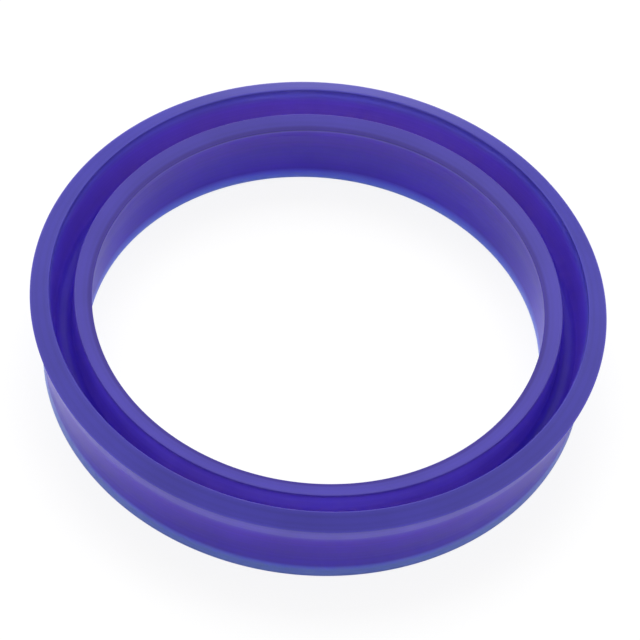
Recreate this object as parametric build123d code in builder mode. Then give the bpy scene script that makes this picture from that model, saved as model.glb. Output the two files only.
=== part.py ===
from build123d import *

import os
from math import radians, tan

# Asymmetric U cup seal for a hydraulic rod: one moulded ring of polyurethane with a solid
# heel, a taller outer lip that seals in the gland, a shorter inner lip that seals on the
# rod, and a groove between them that the oil pressure fills to spread the lips.
# Origin: centre of the heel face. +Z: out of the heel, towards the lips.
# Lengths are in millimetres and angles in degrees.

# Driving sizes
rod_diameter = 63.0  # the rod, and the straight bore of the heel around it
section_width = 6.0  # radial width of the heel, from the rod to the gland wall
seal_height = 14.0  # heel face to the tip of the outer lip

# How far each free lip stands past the surface that it seals on, before assembly
outer_lip_squeeze = 1.9
inner_lip_squeeze = 0.55

# Heel
heel_wall_height = 4.0  # straight outer wall, up to where the outer lip starts to flare
heel_bore_height = 7.2  # straight bore, up to where the inner lip starts to flare
bore_chamfer = 1.1  # lead-in at the foot of the bore
heel_chamfer = 0.15  # outside corner of the heel

# Lip tips: flats that fall from the groove's mouth to the sealing edges
outer_bevel_width = 2.6
outer_bevel_angle = 24.0
inner_bevel_width = 2.45
inner_bevel_angle = 17.6
inner_lip_setback = 1.3  # how much lower the inner lip's tip is than the outer one's

# Lands: the last stretch of each lip's back under its sealing edge, flared the most
outer_land_height = 2.7
outer_land_angle = 16.5
inner_land_height = 1.4
inner_land_angle = 11.0

# Groove
groove_depth = 7.5  # below the outer lip's tip
groove_floor_width = 2.1
groove_floor_radius = 1.0
inner_lip_root = 2.2  # thickness of the inner lip where it leaves the heel

# Blends where the lips start to flare out of the heel's straight walls
flare_blend_radius = 12.0

# Radii of the straight walls and the sealing edges, measured from the axis
bore_radius = rod_diameter / 2
heel_radius = bore_radius + section_width
outer_edge_radius = heel_radius + outer_lip_squeeze
inner_edge_radius = bore_radius - inner_lip_squeeze

# Heights of the tips and the sealing edges above the heel face
outer_tip_height = seal_height
inner_tip_height = seal_height - inner_lip_setback
outer_edge_height = outer_tip_height - outer_bevel_width * tan(radians(outer_bevel_angle))
inner_edge_height = inner_tip_height - inner_bevel_width * tan(radians(inner_bevel_angle))

# Feet of the lands
outer_land_radius = outer_edge_radius - outer_land_height * tan(radians(outer_land_angle))
inner_land_radius = inner_edge_radius + inner_land_height * tan(radians(inner_land_angle))

# Groove floor
groove_floor_height = seal_height - groove_depth
groove_floor_inner = bore_radius + inner_lip_root
groove_floor_outer = groove_floor_inner + groove_floor_width

# Half section in the (radius, height) plane: each corner with its rounding, going round
# from the bore's foot, out along the heel face, up the outer lip, through the groove,
# over the inner lip and down the bore. The lips are trimmed to sharp edges.
section_corners = [
    ((bore_radius + bore_chamfer, 0), 0),
    ((heel_radius - heel_chamfer, 0), 0),
    ((heel_radius, heel_chamfer), 0),
    ((heel_radius, heel_wall_height), flare_blend_radius),
    ((outer_land_radius, outer_edge_height - outer_land_height), 0),
    ((outer_edge_radius, outer_edge_height), 0),
    ((outer_edge_radius - outer_bevel_width, outer_tip_height), 0),
    ((groove_floor_outer, groove_floor_height), groove_floor_radius),
    ((groove_floor_inner, groove_floor_height), groove_floor_radius),
    ((inner_edge_radius + inner_bevel_width, inner_tip_height), 0),
    ((inner_edge_radius, inner_edge_height), 0),
    ((inner_land_radius, inner_edge_height - inner_land_height), 0),
    ((bore_radius, heel_bore_height), flare_blend_radius),
    ((bore_radius, bore_chamfer), 0),
]
corner_points = [point for point, rounding in section_corners]
corner_roundings = [rounding for point, rounding in section_corners]

with BuildPart() as seal_ring:
    with BuildSketch(Plane.XZ) as section:
        with BuildLine() as outline:
            FilletPolyline(*corner_points, radius=corner_roundings, close=True)
        make_face()
    revolve(axis=Axis.Z)
seal_ring.part.label = "seal_ring"

os.makedirs("parts", exist_ok=True)
export_step(seal_ring.part, "parts/seal_ring.step")
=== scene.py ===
import math

import bpy
from mathutils import Matrix, Vector


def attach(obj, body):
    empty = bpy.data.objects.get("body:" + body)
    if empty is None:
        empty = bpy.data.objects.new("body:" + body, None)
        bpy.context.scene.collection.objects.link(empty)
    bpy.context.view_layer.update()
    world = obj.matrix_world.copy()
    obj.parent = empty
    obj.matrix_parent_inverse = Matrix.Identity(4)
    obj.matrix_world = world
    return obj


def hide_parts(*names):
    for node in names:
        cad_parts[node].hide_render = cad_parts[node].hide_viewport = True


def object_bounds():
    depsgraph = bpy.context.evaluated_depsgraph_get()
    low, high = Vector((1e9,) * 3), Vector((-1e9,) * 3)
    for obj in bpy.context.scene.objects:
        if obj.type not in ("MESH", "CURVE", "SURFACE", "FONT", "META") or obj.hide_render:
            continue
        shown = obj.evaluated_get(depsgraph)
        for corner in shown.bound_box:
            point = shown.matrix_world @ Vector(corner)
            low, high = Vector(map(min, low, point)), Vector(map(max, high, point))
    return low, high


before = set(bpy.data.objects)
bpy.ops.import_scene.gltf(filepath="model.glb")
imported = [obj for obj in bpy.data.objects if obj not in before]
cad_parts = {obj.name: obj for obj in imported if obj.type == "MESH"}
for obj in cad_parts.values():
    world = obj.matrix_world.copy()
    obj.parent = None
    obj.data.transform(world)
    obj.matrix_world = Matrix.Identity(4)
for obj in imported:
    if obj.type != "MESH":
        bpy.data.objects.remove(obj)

# A rod U cup seal of translucent blue-violet polyurethane, lying on its heel on a white
# table. Lengths of the section are in millimetres, everything placed in the scene is in
# metres, and colours are linear RGB.

MM = 0.001

cad_low, cad_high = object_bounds()

# ---------------------------------------------------------------- sizes of the section
# The heights stand above the heel face, and the angles are in degrees.
SEAL_HEIGHT = (cad_high.z - cad_low.z) / MM
SECTION_WIDTH = 6.0
BORE_RADIUS = 31.5
HEEL_RADIUS = BORE_RADIUS + SECTION_WIDTH
OUTER_EDGE_RADIUS = (cad_high.x - cad_low.x) / 2 / MM
INNER_EDGE_RADIUS = 30.95

HEEL_WALL_HEIGHT = 4.0
HEEL_BORE_HEIGHT = 7.2
BORE_CHAMFER = 1.1
HEEL_CHAMFER = 0.15

# Bevels, which fall from the tips of the lips to their sealing edges
OUTER_BEVEL_WIDTH = 2.6
OUTER_BEVEL_ANGLE = 24.0
INNER_BEVEL_WIDTH = 2.45
INNER_BEVEL_ANGLE = 17.6
INNER_LIP_SETBACK = 1.3
INNER_TIP_HEIGHT = SEAL_HEIGHT - INNER_LIP_SETBACK
OUTER_TIP_RADIUS = OUTER_EDGE_RADIUS - OUTER_BEVEL_WIDTH
INNER_TIP_RADIUS = INNER_EDGE_RADIUS + INNER_BEVEL_WIDTH
OUTER_BEVEL_DROP = OUTER_BEVEL_WIDTH * math.tan(math.radians(OUTER_BEVEL_ANGLE))
INNER_BEVEL_DROP = INNER_BEVEL_WIDTH * math.tan(math.radians(INNER_BEVEL_ANGLE))
OUTER_EDGE_HEIGHT = SEAL_HEIGHT - OUTER_BEVEL_DROP
INNER_EDGE_HEIGHT = INNER_TIP_HEIGHT - INNER_BEVEL_DROP

# Lands, the last and most flared stretch of each lip's back under its sealing edge
OUTER_LAND_HEIGHT = 2.7
OUTER_LAND_ANGLE = 16.5
INNER_LAND_HEIGHT = 1.4
INNER_LAND_ANGLE = 11.0
OUTER_LAND_FLARE = OUTER_LAND_HEIGHT * math.tan(math.radians(OUTER_LAND_ANGLE))
INNER_LAND_FLARE = INNER_LAND_HEIGHT * math.tan(math.radians(INNER_LAND_ANGLE))

GROOVE_DEPTH = 7.5
GROOVE_FLOOR_WIDTH = 2.1
INNER_LIP_ROOT = 2.2
GROOVE_FLOOR_HEIGHT = SEAL_HEIGHT - GROOVE_DEPTH
GROOVE_FLOOR_INNER = BORE_RADIUS + INNER_LIP_ROOT
GROOVE_FLOOR_OUTER = GROOVE_FLOOR_INNER + GROOVE_FLOOR_WIDTH
GROOVE_FLOOR_RADIUS = 1.0

# Radii of the blends in the lips' backs, and of the small roundings that moulded and
# trimmed edges really have
FLARE_BLEND = 12.0
LAND_BLEND = 1.5
GROOVE_EDGE_ROUNDING = 0.15
SEALING_EDGE_ROUNDING = 0.05
HEEL_ROUNDING = 0.05

# Fineness of the mesh: steps round the ring, the turn of one step of a rounding, and the
# longest step along a straight run of the section
SEGMENTS = 400
ARC_STEP = math.radians(12)
LONGEST_SPAN = 0.4


def section_corners():
    """Each corner of the half section as (radius, height, rounding), in mm.

    They run counter-clockwise from the bore's foot: under the heel, up the outer lip,
    through the groove, over the inner lip and down the bore.
    """
    outer_land_foot = OUTER_EDGE_RADIUS - OUTER_LAND_FLARE
    inner_land_foot = INNER_EDGE_RADIUS + INNER_LAND_FLARE
    return [
        (BORE_RADIUS + BORE_CHAMFER, 0, HEEL_ROUNDING),
        (HEEL_RADIUS - HEEL_CHAMFER, 0, HEEL_ROUNDING),
        (HEEL_RADIUS, HEEL_CHAMFER, HEEL_ROUNDING),
        (HEEL_RADIUS, HEEL_WALL_HEIGHT, FLARE_BLEND),
        (outer_land_foot, OUTER_EDGE_HEIGHT - OUTER_LAND_HEIGHT, LAND_BLEND),
        (OUTER_EDGE_RADIUS, OUTER_EDGE_HEIGHT, SEALING_EDGE_ROUNDING),
        (OUTER_TIP_RADIUS, SEAL_HEIGHT, GROOVE_EDGE_ROUNDING),
        (GROOVE_FLOOR_OUTER, GROOVE_FLOOR_HEIGHT, GROOVE_FLOOR_RADIUS),
        (GROOVE_FLOOR_INNER, GROOVE_FLOOR_HEIGHT, GROOVE_FLOOR_RADIUS),
        (INNER_TIP_RADIUS, INNER_TIP_HEIGHT, GROOVE_EDGE_ROUNDING),
        (INNER_EDGE_RADIUS, INNER_EDGE_HEIGHT, SEALING_EDGE_ROUNDING),
        (inner_land_foot, INNER_EDGE_HEIGHT - INNER_LAND_HEIGHT, LAND_BLEND),
        (BORE_RADIUS, HEEL_BORE_HEIGHT, FLARE_BLEND),
        (BORE_RADIUS, BORE_CHAMFER, HEEL_ROUNDING),
    ]


def rounded_corner(before, corner, after, radius):
    """Points of the arc that rounds one corner of the section."""
    here = Vector(corner)
    back = (Vector(before) - here).normalized()
    ahead = (Vector(after) - here).normalized()
    half_angle = back.angle(ahead) / 2
    reach = radius / math.tan(half_angle)
    centre = here + (back + ahead).normalized() * radius / math.sin(half_angle)
    start = here + back * reach - centre
    turn = math.pi - 2 * half_angle
    if start.cross(back) > 0:
        turn = -turn
    steps = max(2, math.ceil(abs(turn) / ARC_STEP))
    arc = []
    for step in range(steps + 1):
        arc.append(centre + Matrix.Rotation(turn * step / steps, 2) @ start)
    return arc


def section_outline():
    """The closed outline of the half section in mm, with its long straight runs divided."""
    corners = section_corners()
    points = []
    for index, (r, z, rounding) in enumerate(corners):
        before = corners[index - 1][:2]
        after = corners[(index + 1) % len(corners)][:2]
        points += rounded_corner(before, (r, z), after, rounding)
    divided = []
    for index, point in enumerate(points):
        onward = points[(index + 1) % len(points)]
        pieces = max(1, math.ceil((onward - point).length / LONGEST_SPAN))
        divided += [point.lerp(onward, step / pieces) for step in range(pieces)]
    return divided


# ---------------------------------------------------------------- colour along the section
# The moulding is translucent and its body a deep violet. The tints along the section are lit and
# shaded copies of that violet, painted to stand in for light. There is a painted glow at its foot
# and under the sealing edges of its lips, where more light comes through. The groove, its mouth,
# the walls and the bore are painted lighter where little light falls, though darker towards the
# bore's top. The bevels, which take the most light, are painted darker, and a painted shade line
# runs along the inner lip's sealing edge. LEE is the inner lip's wall in the groove, and MOUTH
# the top of the outer lip's wall there.
WALL = (0.047, 0.006, 0.42)
# painted lightening low on the heel's wall, leading into the glow at its foot
LOW_WALL = (0.075, 0.034, 0.56)
BORE_TOP = (0.032, 0.002, 0.36)
BORE = (0.046, 0.008, 0.46)
GROOVE = (0.052, 0.021, 0.405)
LEE = (0.068, 0.032, 0.43)
BEVEL = (0.032, 0.024, 0.27)
INNER_BEVEL = (0.036, 0.024, 0.26)
MOUTH = (0.052, 0.042, 0.37)
# painted shade line along the inner lip's sealing edge
EDGE_SHADE = (0.024, 0.010, 0.20)
# painted glow under the lips' sealing edges
LIP_GLOW = (0.090, 0.064, 0.43)
# painted glow at the heel's foot and the bore's foot
FOOT_GLOW = (0.185, 0.280, 1.0)

# Roughness of the smooth faces, and of the groove
SATIN = 0.3
DULL = 0.55

# Colour with its painted light and shade, and finish, at points of the section: place as (radius,
# height), colour, how much of the light passes through the moulding there, and roughness. Each
# place means the nearest point of the outline, and all of it fades evenly from one to the next.
TINT_STOPS = [
    # up the bore to the inner lip's sealing edge
    # a painted glow at the bore's foot
    ((BORE_RADIUS, 1.2), FOOT_GLOW, 1.0, SATIN),
    ((BORE_RADIUS, 3.2), BORE, 1.0, SATIN),
    ((BORE_RADIUS, 5.2), BORE, 1.0, SATIN),
    ((BORE_RADIUS, 9.0), BORE_TOP, 1.0, SATIN),
    ((INNER_EDGE_RADIUS, INNER_EDGE_HEIGHT - 0.7), BORE_TOP, 1.0, SATIN),
    # a painted glow under the inner sealing edge, then a painted shade line along it
    ((INNER_EDGE_RADIUS, INNER_EDGE_HEIGHT - 0.3), LIP_GLOW, 0.3, SATIN),
    ((INNER_EDGE_RADIUS, INNER_EDGE_HEIGHT - 0.02), EDGE_SHADE, 0.0, SATIN),
    # over the inner lip's bevel
    ((INNER_EDGE_RADIUS + 0.3, INNER_EDGE_HEIGHT), EDGE_SHADE, 0.0, SATIN),
    ((INNER_EDGE_RADIUS + 0.7, INNER_EDGE_HEIGHT), INNER_BEVEL, 0.0, SATIN),
    ((INNER_TIP_RADIUS - 0.2, INNER_TIP_HEIGHT), INNER_BEVEL, 0.0, SATIN),
    # down the inner lip's wall in the groove, and up the outer lip's
    ((INNER_TIP_RADIUS, INNER_TIP_HEIGHT - 0.4), LEE, 0.5, DULL),
    ((INNER_TIP_RADIUS, INNER_TIP_HEIGHT - 1.3), LEE, 0.9, DULL),
    ((INNER_TIP_RADIUS, INNER_TIP_HEIGHT - 3.2), GROOVE, 0.9, DULL),
    ((OUTER_TIP_RADIUS, SEAL_HEIGHT - 2.2), GROOVE, 0.9, DULL),
    ((OUTER_TIP_RADIUS, SEAL_HEIGHT - 0.9), MOUTH, 0.9, DULL),
    # over the outer lip's bevel to its sealing edge
    ((OUTER_TIP_RADIUS + 0.2, SEAL_HEIGHT), BEVEL, 0.0, SATIN),
    ((OUTER_EDGE_RADIUS - 0.3, OUTER_EDGE_HEIGHT), BEVEL, 0.0, SATIN),
    ((OUTER_EDGE_RADIUS, OUTER_EDGE_HEIGHT - 0.05), MOUTH, 0.1, SATIN),
    # down the outer lip's back and the heel's wall
    # a painted glow on the outer lip's back under its sealing edge
    ((OUTER_EDGE_RADIUS, OUTER_EDGE_HEIGHT - 1.3), LIP_GLOW, 0.8, SATIN),
    ((OUTER_EDGE_RADIUS, OUTER_EDGE_HEIGHT - 2.4), LIP_GLOW, 1.0, SATIN),
    ((HEEL_RADIUS, 9.5), WALL, 1.0, SATIN),
    ((HEEL_RADIUS, 5.6), WALL, 1.0, SATIN),
    # painted lightening low on the wall, then a painted glow at the heel's foot
    ((HEEL_RADIUS, 2.4), LOW_WALL, 1.0, SATIN),
    ((HEEL_RADIUS, 1.3), FOOT_GLOW, 1.0, SATIN),
    ((HEEL_RADIUS, 0.5), FOOT_GLOW, 0.4, SATIN),
]


def arc_lengths(outline):
    """How far each point of the outline lies along it, in mm, and the whole way round."""
    reached = 0
    lengths = []
    for index, point in enumerate(outline):
        lengths.append(reached)
        reached += (outline[(index + 1) % len(outline)] - point).length
    return lengths, reached


def nearest_index(outline, place):
    """Which point of the outline lies nearest to a place."""
    return min(range(len(outline)), key=lambda index: (outline[index] - Vector(place)).length)


def outline_finish_and_painted_light(outline):
    """The colour with its painted light and shade, the depth and the roughness of each point of
    the outline, as vectors of five.
    """
    lengths, whole = arc_lengths(outline)
    stops = []
    for place, tint, depth, roughness in TINT_STOPS:
        length = lengths[nearest_index(outline, place)]
        stops.append((length, Vector((*tint, depth, roughness))))
    stops.sort(key=lambda stop: stop[0])
    # The last stop also stands before the first, and the first after the last
    before = (stops[-1][0] - whole, stops[-1][1])
    after = (stops[0][0] + whole, stops[0][1])
    stops = [before, *stops, after]
    finish_and_painted_light = []
    for length in lengths:
        for (low, first), (high, second) in zip(stops, stops[1:]):
            if low <= length < high:
                finish_and_painted_light.append(first.lerp(second, (length - low) / (high - low)))
                break
    return finish_and_painted_light


def make_ring():
    """The ring: its half section turned round the Z axis, with its finish and painted light and
    shade on its points.
    """
    outline = section_outline()
    finish_and_painted_light = outline_finish_and_painted_light(outline)
    count = len(outline)
    verts = []
    faces = []
    for segment in range(SEGMENTS):
        angle = math.tau * segment / SEGMENTS
        for r, z in outline:
            verts.append((r * MM * math.cos(angle), r * MM * math.sin(angle), z * MM))
        near = segment * count
        far = (segment + 1) % SEGMENTS * count
        for index in range(count):
            onward = (index + 1) % count
            faces.append((near + index, far + index, far + onward, near + onward))
    mesh = bpy.data.meshes.new("moulded_ring")
    mesh.from_pydata(verts, [], faces)
    mesh.shade_smooth()
    tint = mesh.color_attributes.new("tint", "FLOAT_COLOR", "POINT")
    colours = [channel for point_finish_and_painted_light in finish_and_painted_light for channel in (*point_finish_and_painted_light[:3], 1.0)]
    tint.data.foreach_set("color", colours * SEGMENTS)
    for name, channel in (("depth", 3), ("roughness", 4)):
        layer = mesh.attributes.new(name, "FLOAT", "POINT")
        layer.data.foreach_set("value", [point_finish_and_painted_light[channel] for point_finish_and_painted_light in finish_and_painted_light] * SEGMENTS)
    mesh.update()
    ring = bpy.data.objects.new("moulded_ring", mesh)
    bpy.context.scene.collection.objects.link(ring)
    return ring


# ---------------------------------------------------------------- materials
def new_material(name):
    """A material and its empty node tree."""
    material = bpy.data.materials.new(name)
    material.use_nodes = True
    material.node_tree.nodes.clear()
    return material, material.node_tree


def add(tree, kind, **settings):
    """A new node of the tree, with these of its own settings."""
    node = tree.nodes.new(kind)
    for name, value in settings.items():
        setattr(node, name, value)
    return node


def graded(tree, value, start, end, low, high, interpolation="LINEAR"):
    """A value from low to high, as the value that comes in goes from start to end."""
    node = add(tree, "ShaderNodeMapRange", interpolation_type=interpolation)
    tree.links.new(value, node.inputs["Value"])
    node.inputs["From Min"].default_value = start
    node.inputs["From Max"].default_value = end
    node.inputs["To Min"].default_value = low
    node.inputs["To Max"].default_value = high
    return node.outputs["Result"]


def product(tree, first, second):
    """Two values multiplied."""
    node = add(tree, "ShaderNodeMath", operation="MULTIPLY")
    tree.links.new(first, node.inputs[0])
    tree.links.new(second, node.inputs[1])
    return node.outputs[0]


# Faint turning streaks round the ring and faint clouds in the polyurethane
STREAK_SCALE = 2200.0
STREAK_DEPTH = 0.16
CLOUD_SCALE = 110.0
CLOUD_DEPTH = 0.14
NOISE_DETAIL = 3.0
NOISE_LOW = 0.3
NOISE_HIGH = 0.7

POLYURETHANE_IOR = 1.5
SCATTER_REACH = 10.0 * MM


def unevenness(tree, place, scale, depth):
    """A noise factor that wavers around 1 by half of depth either way."""
    noise = add(tree, "ShaderNodeTexNoise")
    noise.inputs["Scale"].default_value = scale
    noise.inputs["Detail"].default_value = NOISE_DETAIL
    tree.links.new(place, noise.inputs["Vector"])
    return graded(tree, noise.outputs["Fac"], NOISE_LOW, NOISE_HIGH, 1 - depth / 2, 1 + depth / 2)


def section_place(tree, where):
    """Where a point lies in the half section, as (radius, height, 0)."""
    link = tree.links.new
    split = add(tree, "ShaderNodeSeparateXYZ")
    link(where, split.inputs[0])
    level = add(tree, "ShaderNodeCombineXYZ")
    link(split.outputs["X"], level.inputs["X"])
    link(split.outputs["Y"], level.inputs["Y"])
    radius = add(tree, "ShaderNodeVectorMath", operation="LENGTH")
    link(level.outputs[0], radius.inputs[0])
    place = add(tree, "ShaderNodeCombineXYZ")
    link(radius.outputs["Value"], place.inputs["X"])
    link(split.outputs["Z"], place.inputs["Y"])
    return place.outputs[0]


def polyurethane():
    """Scattering plastic, whose colour with its painted light and shade, depth and roughness come
    from the ring's points.
    """
    material, tree = new_material("polyurethane")
    link = tree.links.new
    shader = add(tree, "ShaderNodeBsdfPrincipled")
    where = add(tree, "ShaderNodeTexCoord").outputs["Object"]
    streaks = unevenness(tree, section_place(tree, where), STREAK_SCALE, STREAK_DEPTH)
    clouds = unevenness(tree, where, CLOUD_SCALE, CLOUD_DEPTH)
    # the tint carries the painted glow, shade and lightening along the section
    tint = add(tree, "ShaderNodeAttribute", attribute_name="tint")
    shaded = add(tree, "ShaderNodeVectorMath", operation="SCALE")
    link(tint.outputs["Color"], shaded.inputs[0])
    link(product(tree, streaks, clouds), shaded.inputs["Scale"])
    link(shaded.outputs[0], shader.inputs["Base Color"])
    roughness = add(tree, "ShaderNodeAttribute", attribute_name="roughness")
    link(roughness.outputs["Fac"], shader.inputs["Roughness"])
    shader.inputs["IOR"].default_value = POLYURETHANE_IOR
    depth = add(tree, "ShaderNodeAttribute", attribute_name="depth")
    link(depth.outputs["Fac"], shader.inputs["Subsurface Weight"])
    shader.inputs["Subsurface Radius"].default_value = (1.0, 1.0, 1.0)
    shader.inputs["Subsurface Scale"].default_value = SCATTER_REACH
    output = add(tree, "ShaderNodeOutputMaterial")
    link(shader.outputs["BSDF"], output.inputs["Surface"])
    return material


TABLE_WHITE = 0.92
TABLE_OWN_LIGHT = 0.88


def white_table():
    """White that lies plain in front of the camera, and still takes the ring's shadow."""
    material, tree = new_material("white_table")
    link = tree.links.new
    lit = add(tree, "ShaderNodeBsdfDiffuse")
    lit.inputs["Color"].default_value = (TABLE_WHITE, TABLE_WHITE, TABLE_WHITE, 1)
    plain = add(tree, "ShaderNodeEmission")
    plain.inputs["Color"].default_value = (1, 1, 1, 1)
    plain.inputs["Strength"].default_value = 1.0
    path = add(tree, "ShaderNodeLightPath")
    share = add(tree, "ShaderNodeMath", operation="MULTIPLY")
    share.inputs[1].default_value = TABLE_OWN_LIGHT
    link(path.outputs["Is Camera Ray"], share.inputs[0])
    mix = add(tree, "ShaderNodeMixShader")
    link(share.outputs[0], mix.inputs["Fac"])
    link(lit.outputs["BSDF"], mix.inputs[1])
    link(plain.outputs["Emission"], mix.inputs[2])
    output = add(tree, "ShaderNodeOutputMaterial")
    link(mix.outputs[0], output.inputs["Surface"])
    return material


# ---------------------------------------------------------------- stage
TABLE_SIZE = 6.0
TABLE_GAP = 0.02 * MM


def make_table():
    half = TABLE_SIZE / 2
    corners = [(-half, -half, 0), (half, -half, 0), (half, half, 0), (-half, half, 0)]
    mesh = bpy.data.meshes.new("table")
    mesh.from_pydata(corners, [], [(0, 1, 2, 3)])
    mesh.materials.append(white_table())
    table = bpy.data.objects.new("table", mesh)
    bpy.context.scene.collection.objects.link(table)
    table.location.z = -TABLE_GAP


# How bright the sky is in front of the ring, behind it, and at the horizon, where it is a
# share of the rest. The sky turns from front to back and rises from the horizon over these
# parts of its direction's y and z.
FRONT_SKY = 0.55
BACK_SKY = 1.05
HORIZON = 0.05
FRONT_ENDS = -0.35
BACK_STARTS = 0.1
RISE_STARTS = 0.05
RISE_ENDS = 0.42


def background(tree):
    """A plain white background shader of strength 1."""
    shader = add(tree, "ShaderNodeBackground")
    shader.inputs["Color"].default_value = (1, 1, 1, 1)
    shader.inputs["Strength"].default_value = 1.0
    return shader


def make_world():
    """A soft studio sky, which the camera itself sees as plain white."""
    world = bpy.data.worlds.new("studio")
    bpy.context.scene.world = world
    world.use_nodes = True
    tree = world.node_tree
    tree.nodes.clear()
    link = tree.links.new
    where = add(tree, "ShaderNodeTexCoord")
    split = add(tree, "ShaderNodeSeparateXYZ")
    link(where.outputs["Generated"], split.inputs[0])
    turn = graded(
        tree, split.outputs["Y"], FRONT_ENDS, BACK_STARTS, FRONT_SKY, BACK_SKY, "SMOOTHSTEP"
    )
    rise = graded(tree, split.outputs["Z"], RISE_STARTS, RISE_ENDS, HORIZON, 1.0, "SMOOTHSTEP")
    sky = background(tree)
    link(product(tree, turn, rise), sky.inputs["Strength"])
    path = add(tree, "ShaderNodeLightPath")
    mix = add(tree, "ShaderNodeMixShader")
    link(path.outputs["Is Camera Ray"], mix.inputs["Fac"])
    link(sky.outputs["Background"], mix.inputs[1])
    link(background(tree).outputs["Background"], mix.inputs[2])
    output = add(tree, "ShaderNodeOutputWorld")
    link(mix.outputs[0], output.inputs["Surface"])


# The one lamp: a softbox above and behind the ring. Its radiance is how bright it looks,
# where 1 is white.
KEY_DIRECTION = (-0.1, 0.5, 0.87)
KEY_DISTANCE = 0.8
KEY_WIDTH = 0.6
KEY_HEIGHT = 0.5
KEY_RADIANCE = 6.0


def make_key_lamp():
    lamp = bpy.data.lights.new("key", "AREA")
    lamp.shape = "RECTANGLE"
    lamp.size = KEY_WIDTH
    lamp.size_y = KEY_HEIGHT
    lamp.energy = KEY_RADIANCE * math.pi * KEY_WIDTH * KEY_HEIGHT
    key = bpy.data.objects.new("key", lamp)
    bpy.context.scene.collection.objects.link(key)
    away = Vector(KEY_DIRECTION).normalized()
    key.location = away * KEY_DISTANCE
    key.rotation_mode = "QUATERNION"
    key.rotation_quaternion = away.to_track_quat("Z", "Y")
    # Its mirror image would grey the inner lip's bevel
    key.visible_glossy = False


# ---------------------------------------------------------------- camera
# Degrees and metres. The camera looks from the front and is rolled a little, as the
# photographer's was.
CAMERA_ELEVATION = 50.85
CAMERA_DISTANCE = 0.4727
CAMERA_ROLL = 6.43
CAMERA_LENS = 195.0
CAMERA_SENSOR = 36.0
AIM = Vector((0.00044, 0, 0.00757))
NEAREST_SEEN = 0.01
FARTHEST_SEEN = 20.0


def make_camera():
    camera = bpy.data.cameras.new("camera")
    camera.sensor_width = CAMERA_SENSOR
    camera.lens = CAMERA_LENS
    camera.clip_start = NEAREST_SEEN
    camera.clip_end = FARTHEST_SEEN
    place = bpy.data.objects.new("camera", camera)
    bpy.context.scene.collection.objects.link(place)
    lift = math.radians(CAMERA_ELEVATION)
    rim_centre = Vector((0, 0, OUTER_EDGE_HEIGHT * MM))
    towards_camera = Vector((0, -math.cos(lift), math.sin(lift)))
    place.location = rim_centre + towards_camera * CAMERA_DISTANCE
    level = (place.location - AIM).to_track_quat("Z", "Y").to_matrix()
    turned = level @ Matrix.Rotation(math.radians(CAMERA_ROLL), 3, "Z")
    place.rotation_mode = "QUATERNION"
    place.rotation_quaternion = turned.to_quaternion()
    bpy.context.scene.camera = place


ring = make_ring()
ring.data.materials.append(polyurethane())
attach(ring, "root")
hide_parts("seal_ring")
make_table()
make_world()
make_key_lamp()
make_camera()
bpy.context.scene.view_settings.view_transform = "Standard"
